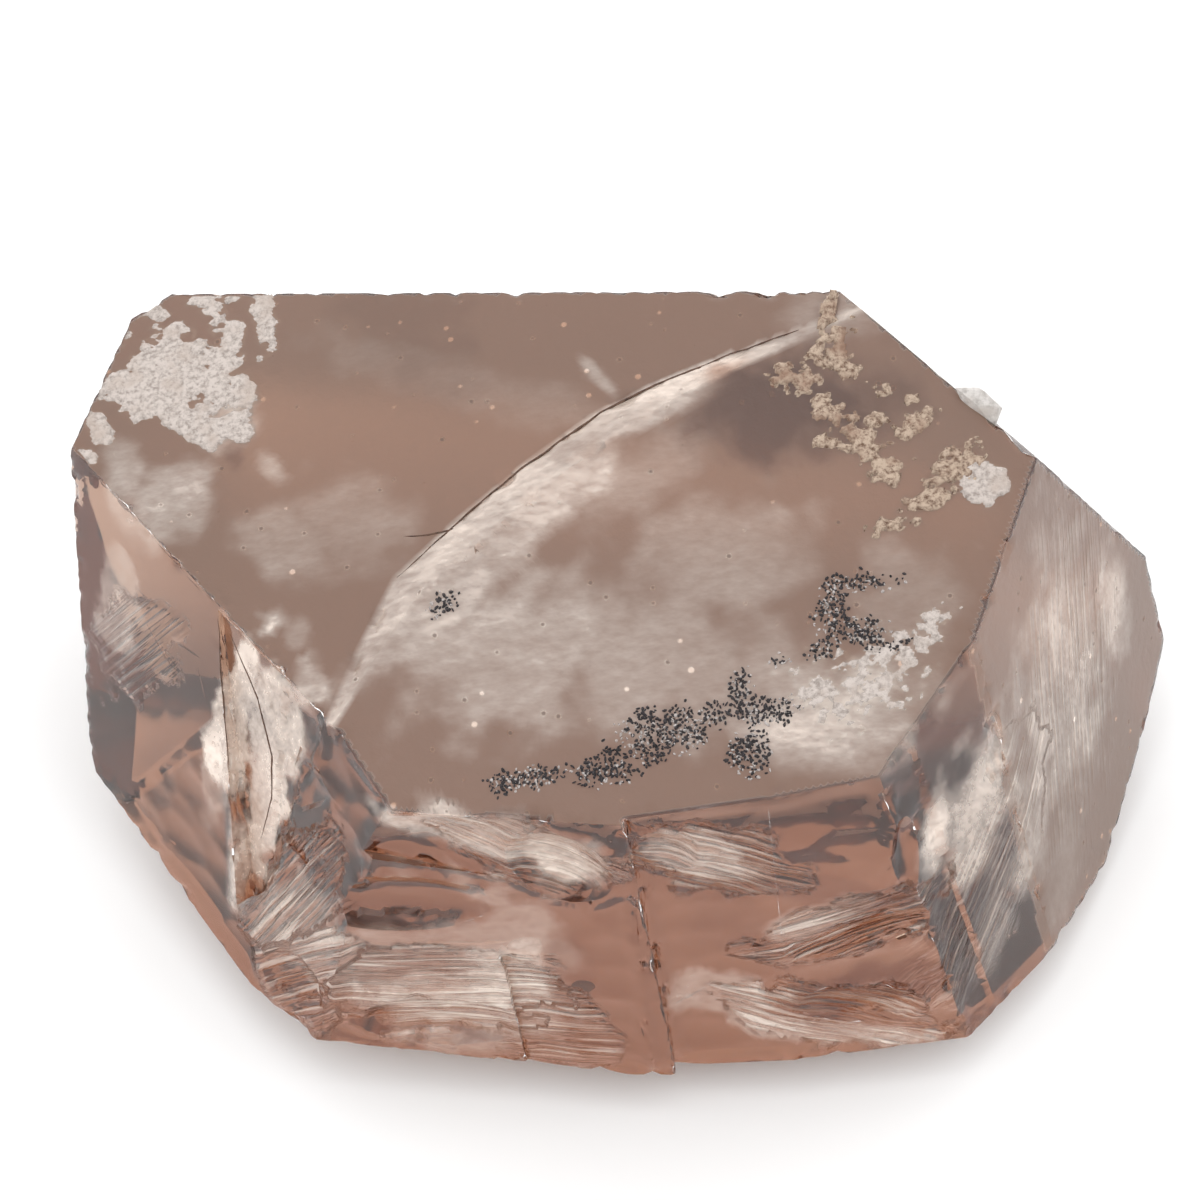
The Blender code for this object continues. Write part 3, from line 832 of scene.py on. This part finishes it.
def bed_of(face, patches, cell):
    """A grid on a face under patches (x, y, half length, half width, turn), and how deep inside
    the patches each point of the grid lies: 1 at a centre, 0 at a rim, less outside, and -1
    where the point would hang over the crystal's edge."""
    axes = np.array(face_frame(face, 0.0))
    centres = np.array([np.array(on_face(face, x, y=y)) @ axes for x, y, *_ in patches])
    reach = max(p[2] for p in patches) + 0.4
    low, high = centres.min(0) - reach, centres.max(0) + reach
    u, v = np.meshgrid(np.arange(low[0], high[0], cell), np.arange(low[1], high[1], cell),
                       indexing="ij")
    inside = 1.0 - np.min([patch_reach(u, v, centre, *patch[2:])
                           for centre, patch in zip(centres, patches)], axis=0)
    flat = np.stack([u, v, np.full(u.shape, centres[0][2])], axis=-1)
    for other, (_, _, distance) in NATURAL_FACES.items():
        if other != face:
            inside[flat @ axes.T @ np.array(outward(other)) > distance - RIM_GAP] = -1.0
    return axes, flat, inside


def crust_film(face, patches, thick, lobe, seed, fill=0.0):
    """A closed film with a lobed rim and with holes; a lobe's size is in millimetres."""
    axes, flat, inside = bed_of(face, patches, CRUST_CELL)
    near = inside > -0.9
    spots = flat[near] @ axes.T
    lobes = noise_at(spots, lobe, 4, seed)
    cover = np.full(inside.shape, -1.0)
    cover[near] = np.minimum(inside[near], CRUST_FULL) + fill + 0.95 * lobes
    rise = np.full(inside.shape, -CRUST_SUNK)
    rise[near] += ((CRUST_SUNK + thick * (0.75 + 0.5 * noise_at(spots, 0.5 * lobe, 3, seed + 3.0)))
                   * smooth(0.0, 0.16, cover[near]))
    corners = [cover[:-1, :-1], cover[1:, :-1], cover[1:, 1:], cover[:-1, 1:]]
    solid = np.zeros(inside.shape, bool)
    solid[:-1, :-1] = np.max(corners, axis=0) > 0.0
    bm = bmesh.new()
    tops, beds = {}, {}

    def corner(key):
        if key not in tops:
            tops[key] = bm.verts.new(axes @ (flat[key] + np.array((0.0, 0.0, rise[key]))))
            beds[key] = bm.verts.new(axes @ (flat[key] - np.array((0.0, 0.0, 2 * CRUST_SUNK))))
        return key

    for i, j in zip(*np.nonzero(solid)):
        ring = [corner(key) for key in ((i, j), (i + 1, j), (i + 1, j + 1), (i, j + 1))]
        bm.faces.new([tops[key] for key in ring])
        bm.faces.new([beds[key] for key in reversed(ring)])
        beside = [(i, j - 1), (i + 1, j), (i, j + 1), (i - 1, j)]
        for a, b, other in zip(ring, ring[1:] + ring[:1], beside):
            if not solid[other]:
                bm.faces.new([tops[b], tops[a], beds[a], beds[b]])
    return bm


# %% Materials of the crusts
def crust_material(name, light, dark, stain, grit):
    """Dried clay: matt, with a painted highlight on its lumps and painted shade in its pits, and
    stained in blotches.
    """
    material = bpy.data.materials.new(name)
    material.use_nodes = True
    tree = material.node_tree
    tree.nodes.clear()
    place = add(tree, "ShaderNodeTexCoord").outputs["Object"]
    grain = add(tree, "ShaderNodeTexNoise", {"Vector": place, "Scale": 1000.0 / grit,
                                             "Detail": 5.0, "Roughness": 0.7}).outputs["Fac"]
    blotch = add(tree, "ShaderNodeTexNoise", {"Vector": place, "Scale": 900.0,
                                              "Detail": 3.0}).outputs["Fac"]
    # Painted shade and highlight: the colour follows the bump's grain, dark in the pits and light on
    # the lumps.
    lump_highlight_pit_shade = add(tree, "ShaderNodeMapRange", {"Value": grain, "From Min": 0.36,
                                                 "From Max": 0.56}).outputs[0]
    stain_mix = add(tree, "ShaderNodeMapRange", {"Value": blotch, "From Min": 0.5,
                                                 "From Max": 0.72}).outputs[0]
    clay = add(tree, "ShaderNodeMix", {0: lump_highlight_pit_shade, 6: linear(dark), 7: linear(light)},
               data_type="RGBA").outputs[2]
    stained = add(tree, "ShaderNodeMix", {0: stain_mix, 6: clay, 7: linear(stain)},
                  data_type="RGBA").outputs[2]
    bump = add(tree, "ShaderNodeBump", {"Height": grain, "Distance": 0.00008,
                                        "Strength": 1.0}).outputs["Normal"]
    shader = add(tree, "ShaderNodeBsdfPrincipled", {
        "Base Color": stained, "Roughness": 0.85, "Normal": bump})
    add(tree, "ShaderNodeOutputMaterial", {"Surface": shader.outputs[0]})
    return material


pale_clay = crust_material("dried_pale_clay", "c6bbb4", "978c85", "b4a59b", 0.22)
rusty_clay = crust_material("clay_with_iron_rust", "bba693", "654b3b", "8f7260", 0.2)


def finish_piece(name, bm, material):
    """Gives a crust piece its material and lets it ride on the crystal."""
    piece = new_piece(name, bm)
    piece.data.shade_smooth()
    piece.data.materials.append(material)
    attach(piece, "root")
    print(name + ":", len(piece.data.polygons), "faces")
    return piece


# %% The pale crust of the far left, and that of the right
PALE_LEFT = [
    (-17.9, 10.2, 2.2, 1.5, -20.0), (-16.0, 9.6, 1.8, 1.3, -35.0), (-19.3, 9.0, 2.0, 0.8, 25.0),
    (-20.9, 7.6, 1.1, 0.4, -5.0), (-17.0, 7.9, 1.7, 0.9, 5.0), (-15.4, 7.0, 0.9, 0.5, 0.0),
    (-16.4, 13.3, 1.1, 0.8, -20.0), (-14.4, 12.1, 1.3, 0.5, -28.0), (-18.8, 12.9, 0.45, 0.3, 20.0),
    (-20.3, 12.2, 0.4, 0.25, 30.0), (-21.3, 6.4, 0.4, 0.25, 0.0),
]
PALE_RIGHT = [
    (8.2, -6.6, 1.5, 1.2, -15.0), (9.5, -5.8, 1.9, 1.5, 35.0), (11.3, -4.6, 1.3, 0.7, 40.0),
    (12.1, -3.7, 0.7, 0.5, 20.0),
]
finish_piece("pale_crust_left", crust_film("top_left", PALE_LEFT, 0.07, 0.9, 4.0, 0.16),
             pale_clay)
finish_piece("pale_crust_right", crust_film("top_middle", PALE_RIGHT, 0.05, 0.45, 8.0, -0.2),
             pale_clay)
finish_piece("white_spot", crust_film("top_middle", [(14.2, 1.4, 0.8, 0.75, 0.0)], 0.09, 1.2, 2.0,
                                      0.3), pale_clay)

# %% The rusty crust of the far right
RUSTY = [
    (8.3, 8.6, 0.8, 0.22, 85.0), (8.4, 7.2, 1.0, 0.55, 60.0), (7.1, 5.9, 0.9, 0.6, 10.0),
    (8.9, 6.3, 0.8, 0.4, -20.0), (7.9, 4.9, 0.7, 0.4, -60.0), (8.8, 4.1, 0.9, 0.45, -45.0),
    (9.5, 3.2, 1.0, 0.5, -50.0), (10.3, 2.2, 0.8, 0.5, -40.0), (10.3, 5.3, 0.3, 0.25, 0.0),
    (11.3, 4.9, 0.35, 0.2, 20.0), (11.6, 3.9, 0.8, 0.4, 50.0), (9.9, 4.1, 0.45, 0.35, 0.0),
    (8.3, 3.2, 0.7, 0.25, -10.0), (13.0, 2.0, 1.1, 0.7, 20.0), (12.0, 0.9, 1.2, 0.4, 30.0),
    (10.6, -0.1, 1.0, 0.25, 22.0), (13.3, 2.6, 0.6, 0.4, 60.0),
]
finish_piece("rusty_crust", crust_film("top_middle", RUSTY, 0.13, 0.42, 12.0, 0.02), rusty_clay)

# %% [markdown]
# ## The splinter
# One small splinter of broken topaz is stuck on the far edge. Its broken sides are white with
# tiny cracks, so it is angular, and frosted rather than clear.

# %% A splinter on the far edge
SPLINTER = [
    (13.1, 5.1, 0.30), (13.5, 4.6, -0.30), (14.6, 3.8, -0.35), (14.3, 5.0, -0.20), (14.9, 4.4, 0.0),
    (14.2, 4.7, 0.55), (14.7, 4.2, 0.40), (13.9, 4.3, 0.35), (14.0, 5.1, 0.25),
]
bm = bmesh.new()
wrap(bm, [on_face("top_middle", x, y=y) + UP * rise for x, y, rise in SPLINTER])
bmesh.ops.recalc_face_normals(bm, faces=bm.faces)
splinter_finish = crust_material("crushed_topaz", "cfcac6", "a8a29d", "bdb5ae", 0.3)
finish_piece("edge_splinter", bm, splinter_finish).data.shade_flat()

# %% [markdown]
# ## Dark grains
# Black grains of manganese and iron ore, a tenth of a millimetre or so across, sit in thin grey
# dust on the middle face. Hundreds of alike grains are what Geometry Nodes are for: points are
# scattered over a bed, more where it lies deep inside a patch, and each point gets a grain
# with its own turn and size. The result is made real, because an export drops instances.

# %% A tree that scatters grains
def grain_tree():
    tree = bpy.data.node_groups.new("scatter_grains", "GeometryNodeTree")
    for name, kind in (("Bed", "Geometry"), ("Grains per mm2", "Float"), ("Size mm", "Float"),
                       ("Seed", "Int"), ("Grain finish", "Material")):
        tree.interface.new_socket(name, in_out="INPUT", socket_type="NodeSocket" + kind)
    tree.interface.new_socket("Grains", in_out="OUTPUT", socket_type="NodeSocketGeometry")
    given = add(tree, "NodeGroupInput").outputs
    cover = add(tree, "GeometryNodeInputNamedAttribute", {"Name": "cover"},
                data_type="FLOAT").outputs[0]
    per_metre = add(tree, "ShaderNodeMath", {0: given["Grains per mm2"], 1: 1.0 / MM ** 2},
                    operation="MULTIPLY").outputs[0]
    density = add(tree, "ShaderNodeMath", {0: per_metre, 1: cover}, operation="MULTIPLY")
    points = add(tree, "GeometryNodeDistributePointsOnFaces", {
        "Mesh": given["Bed"], "Density": density.outputs[0], "Seed": given["Seed"]})
    radius = add(tree, "ShaderNodeMath", {0: given["Size mm"], 1: MM / 2},
                 operation="MULTIPLY").outputs[0]
    grain = add(tree, "GeometryNodeMeshIcoSphere", {"Radius": radius, "Subdivisions": 1})
    turn = add(tree, "FunctionNodeRandomValue", {"Min": (0.0, 0.0, 0.0), "Max": (6.0, 6.0, 6.0),
                                                 "Seed": given["Seed"]}, data_type="FLOAT_VECTOR")
    scale = add(tree, "FunctionNodeRandomValue", {"Min": (0.4, 0.4, 0.35), "Max": (1.7, 1.4, 0.9),
                                                  "Seed": given["Seed"]}, data_type="FLOAT_VECTOR")
    placed = add(tree, "GeometryNodeInstanceOnPoints", {
        "Points": points.outputs["Points"], "Instance": grain.outputs["Mesh"],
        "Rotation": turn.outputs[0], "Scale": scale.outputs[0]})
    real = add(tree, "GeometryNodeRealizeInstances", {"Geometry": placed.outputs[0]})
    finished = add(tree, "GeometryNodeSetMaterial", {"Geometry": real.outputs[0],
                                                     "Material": given["Grain finish"]})
    add(tree, "NodeGroupOutput", {"Grains": finished.outputs[0]})
    return tree


def scatter_grains(name, face, patches, per_mm2, size, seed, material):
    """Scatters grains over patches of a face and returns them as one plain mesh."""
    axes, flat, inside = bed_of(face, patches, 0.2)
    spots = flat.reshape(-1, 3) @ axes.T
    cover = smooth(-0.15, 0.4, inside.ravel() + 0.6 * noise_at(spots, 0.9, 3, seed))
    rows, columns = inside.shape
    cells = [(i * columns + j, (i + 1) * columns + j, (i + 1) * columns + j + 1, i * columns + j + 1)
             for i in range(rows - 1) for j in range(columns - 1)]
    bed_mesh = bpy.data.meshes.new("bed")
    bed_mesh.from_pydata(((spots + np.array(HEART)) * MM).tolist(), [], cells)
    bed_mesh.attributes.new("cover", "FLOAT", "POINT").data.foreach_set("value", cover)
    bed = bpy.data.objects.new("bed", bed_mesh)
    bpy.context.scene.collection.objects.link(bed)
    tree = grain_tree()
    modifier = bed.modifiers.new("grains", "NODES")
    modifier.node_group = tree
    sockets = {item.name: item.identifier for item in tree.interface.items_tree}
    for socket, value in (("Grains per mm2", per_mm2), ("Size mm", size), ("Seed", seed),
                          ("Grain finish", material)):
        modifier[sockets[socket]] = value
    ready = bed.evaluated_get(bpy.context.evaluated_depsgraph_get())
    grains = bpy.data.objects.new(name, bpy.data.meshes.new_from_object(ready))
    bpy.data.objects.remove(bed)
    bpy.context.scene.collection.objects.link(grains)
    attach(grains, "root")
    print(name + ":", len(grains.data.polygons), "faces")
    return grains


# %% Scatter the dark grains and the grey dust between them
DARK = [
    (9.1, -2.3, 1.4, 0.3, 12.0), (8.0, -3.3, 0.8, 0.6, -70.0), (9.0, -4.2, 1.5, 0.6, -10.0),
    (7.8, -4.8, 0.7, 0.35, 35.0), (4.6, -6.3, 0.9, 0.35, -80.0), (5.6, -7.1, 1.3, 0.5, 18.0),
    (4.9, -8.6, 1.1, 0.75, 85.0), (1.9, -7.8, 2.0, 1.0, 25.0), (-0.4, -9.2, 1.1, 0.5, 10.0),
    (-3.3, -9.3, 1.6, 0.4, 22.0), (6.0, -5.2, 0.4, 0.25, 0.0),
    (-6.6, -2.7, 0.6, 0.4, 60.0),
]
ore = crust_material("black_manganese_ore", "423d3f", "1b191a", "2f2b2c", 0.1)
dust = crust_material("grey_dust", "c4bcb8", "9a928e", "b0a6a0", 0.12)
scatter_grains("dark_grains", "top_middle", DARK, 62.0, 0.16, 3, ore)
scatter_grains("dust_grains", "top_middle", DARK, 26.0, 0.14, 5, dust)

# %% [markdown]
# ## Dark threads in the seams
# A dark thread at the foot of the ledge is painted shade in its crease; the others are dark lines
# in hairline cracks. A hairline is too narrow for the skin's triangles, so each is a thread of its
# own: a thin tube with tapered ends that follows its path and wanders a little.

# %% Threads of painted shade and dark lines
SEAMS = [
    # The first thread, at the ledge's foot, is painted shade in its crease; the rest are dark lines
    # in cracks.
    ("top_left", LEDGE_FOOT[2:9], 0.045),
    ("top_left", [(-8.3, 0.8), (-7.2, 0.75), (-6.2, 0.9), (-5.4, 1.25)], 0.035),
    ("end_left", [(-14.9, 6.2), (-13.8, 4.9), (-13.3, 3.2), (-13.4, 1.5), (-14.0, -0.6)], 0.03),
    ("end_left", [(-15.4, 6.3), (-15.4, 3.6), (-15.3, 0.8)], 0.03),
]
SEAM_STEP = 0.25
SEAM_SIDES = 6
SEAM_WANDER = 0.07


def seam_path(face, corners):
    """Points every SEAM_STEP mm along a path on a face, moved a little by noise."""
    ends = [on_face(face, a, z=b) if face in STEEP else on_face(face, a, y=b) for a, b in corners]
    path = []
    for start, end in zip(ends, ends[1:]):
        steps = max(1, round((end - start).length / SEAM_STEP))
        path += [start.lerp(end, step / steps) for step in range(steps)]
    path.append(ends[-1])
    level = outward(face)
    wander = [noise.noise_vector(point) * SEAM_WANDER for point in path]
    return [point + w - level * level.dot(w) for point, w in zip(path, wander)]


def thread(bm, path, radius):
    """A closed tube along a path, thin at both ends."""
    rings = []
    for index, point in enumerate(path):
        along = (path[min(index + 1, len(path) - 1)] - path[max(index - 1, 0)]).normalized()
        side = along.orthogonal().normalized()
        place = index / (len(path) - 1)
        thick = radius * (0.25 + 0.75 * sin(pi * place) ** 0.5)
        thick *= 1.0 + 0.5 * noise.noise(point * 2.0)
        rings.append([bm.verts.new(point + Matrix.Rotation(2 * pi * k / SEAM_SIDES, 3, along) @ side
                                   * thick) for k in range(SEAM_SIDES)])
    for one, two in zip(rings, rings[1:]):
        for k in range(SEAM_SIDES):
            n = (k + 1) % SEAM_SIDES
            bm.faces.new([one[k], one[n], two[n], two[k]])
    bm.faces.new(rings[0][::-1])
    bm.faces.new(rings[-1])


bm = bmesh.new()
for face, corners, radius in SEAMS:
    thread(bm, seam_path(face, corners), radius)
bmesh.ops.recalc_face_normals(bm, faces=bm.faces)
seam_shade_and_dark_lines = crust_material("seam_shade_and_dark_lines", "6e5446", "3e2c23", "5a4336", 0.15)
finish_piece("seam_shade_and_dark_lines", bm, seam_shade_and_dark_lines)

# %% [markdown]
# ## Floor, light and camera
# The crystal lies on a white sheet in a light tent. The tent is open in front, where the camera
# looks in, and that darker opening gives the clear stone its contrast. One soft lamp overhead
# is what the silky top faces reflect as a pale sheen.

# %% Floor
FLOOR_SIZE = 2.0
# Stone and paper never touch all over. In a render, two faces in one plane would also turn black.
FLOOR_GAP = 0.04
bm = bmesh.new()
bmesh.ops.create_grid(bm, x_segments=1, y_segments=1, size=FLOOR_SIZE / 2)
floor_mesh = bpy.data.meshes.new("floor")
bm.to_mesh(floor_mesh)
bm.free()
floor = bpy.data.objects.new("floor", floor_mesh)
floor.location.z = -FLOOR_GAP * MM
bpy.context.scene.collection.objects.link(floor)
paper = bpy.data.materials.new("white_paper")
paper.use_nodes = True
paper.node_tree.nodes["Principled BSDF"].inputs["Base Color"].default_value = linear("f8f8f8")
paper.node_tree.nodes["Principled BSDF"].inputs["Roughness"].default_value = 0.9
floor_mesh.materials.append(paper)

# %% Light
WORLD_STRENGTH = 1.5
OPENING = Vector((0.1, -0.86, 0.5))
OPENING_STRENGTH = 0.35
SOFTBOX_PLACE = Vector((-36.0, 6.0, 260.0))
SOFTBOX_SIZE = (75.0, 50.0)
SOFTBOX_RADIANCE = 3.2

world = bpy.data.worlds.new("light_tent")
world.use_nodes = True
tree = world.node_tree
looking = add(tree, "ShaderNodeTexCoord").outputs["Generated"]
towards = add(tree, "ShaderNodeVectorMath", {0: looking, 1: OPENING.normalized()},
              operation="DOT_PRODUCT").outputs["Value"]
strength = add(tree, "ShaderNodeMapRange", {"Value": towards, "From Min": 0.84, "From Max": 0.97,
                                            "To Min": WORLD_STRENGTH, "To Max": OPENING_STRENGTH})
tent = tree.nodes["Background"]
tent.inputs["Color"].default_value = (1.0, 1.0, 1.0, 1.0)
tree.links.new(strength.outputs[0], tent.inputs["Strength"])
# The tent surrounds everything, so rays find it by chance. Aiming rays at it as at a lamp costs
# as much again and gains nothing: from inside the stone, such rays stop at its surface.
world.cycles.sampling_method = "NONE"
bpy.context.scene.world = world


def softbox(name, place, size, radiance, aim=Vector((0.0, 0.0, 0.0))):
    """A glowing card that faces the heart of the stone."""
    across, up = size[0] * MM / 2, size[1] * MM / 2
    mesh = bpy.data.meshes.new(name)
    mesh.from_pydata([(-across, -up, 0), (-across, up, 0), (across, up, 0), (across, -up, 0)],
                     [], [(0, 1, 2, 3)])
    glow = bpy.data.materials.new(name)
    glow.use_nodes = True
    glow.node_tree.nodes.clear()
    glowing = add(glow.node_tree, "ShaderNodeEmission", {"Strength": radiance})
    add(glow.node_tree, "ShaderNodeOutputMaterial", {"Surface": glowing.outputs[0]})
    glow.cycles.emission_sampling = "NONE"
    mesh.materials.append(glow)
    obj = bpy.data.objects.new(name, mesh)
    obj.location = to_frame(place)
    obj.rotation_euler = (to_frame(aim) - obj.location).to_track_quat("-Z", "Y").to_euler()
    bpy.context.scene.collection.objects.link(obj)
    return obj


softbox("overhead", SOFTBOX_PLACE, SOFTBOX_SIZE, SOFTBOX_RADIANCE)

# %% Camera
CAMERA_ELEVATION = radians(52.0)
CAMERA_DISTANCE = 118.43
CAMERA_AIM = Vector((-0.6, 4.3, 0.0))
camera_data = bpy.data.cameras.new("camera")
camera_data.lens = 85.0
camera_data.clip_start = 0.01
camera = bpy.data.objects.new("camera", camera_data)
back = Vector((0.0, -cos(CAMERA_ELEVATION), sin(CAMERA_ELEVATION)))
camera.location = to_frame(CAMERA_AIM + back * CAMERA_DISTANCE)
camera.rotation_euler = (pi / 2 - CAMERA_ELEVATION, 0.0, 0.0)
bpy.context.scene.collection.objects.link(camera)
bpy.context.scene.camera = camera
bpy.context.scene.view_settings.view_transform = "Standard"

# The stone needs only a few bounces, and rare very bright paths would only add noise.
paths = bpy.context.scene.cycles
paths.max_bounces = 10
paths.caustics_reflective = False
paths.sample_clamp_indirect = 3.0
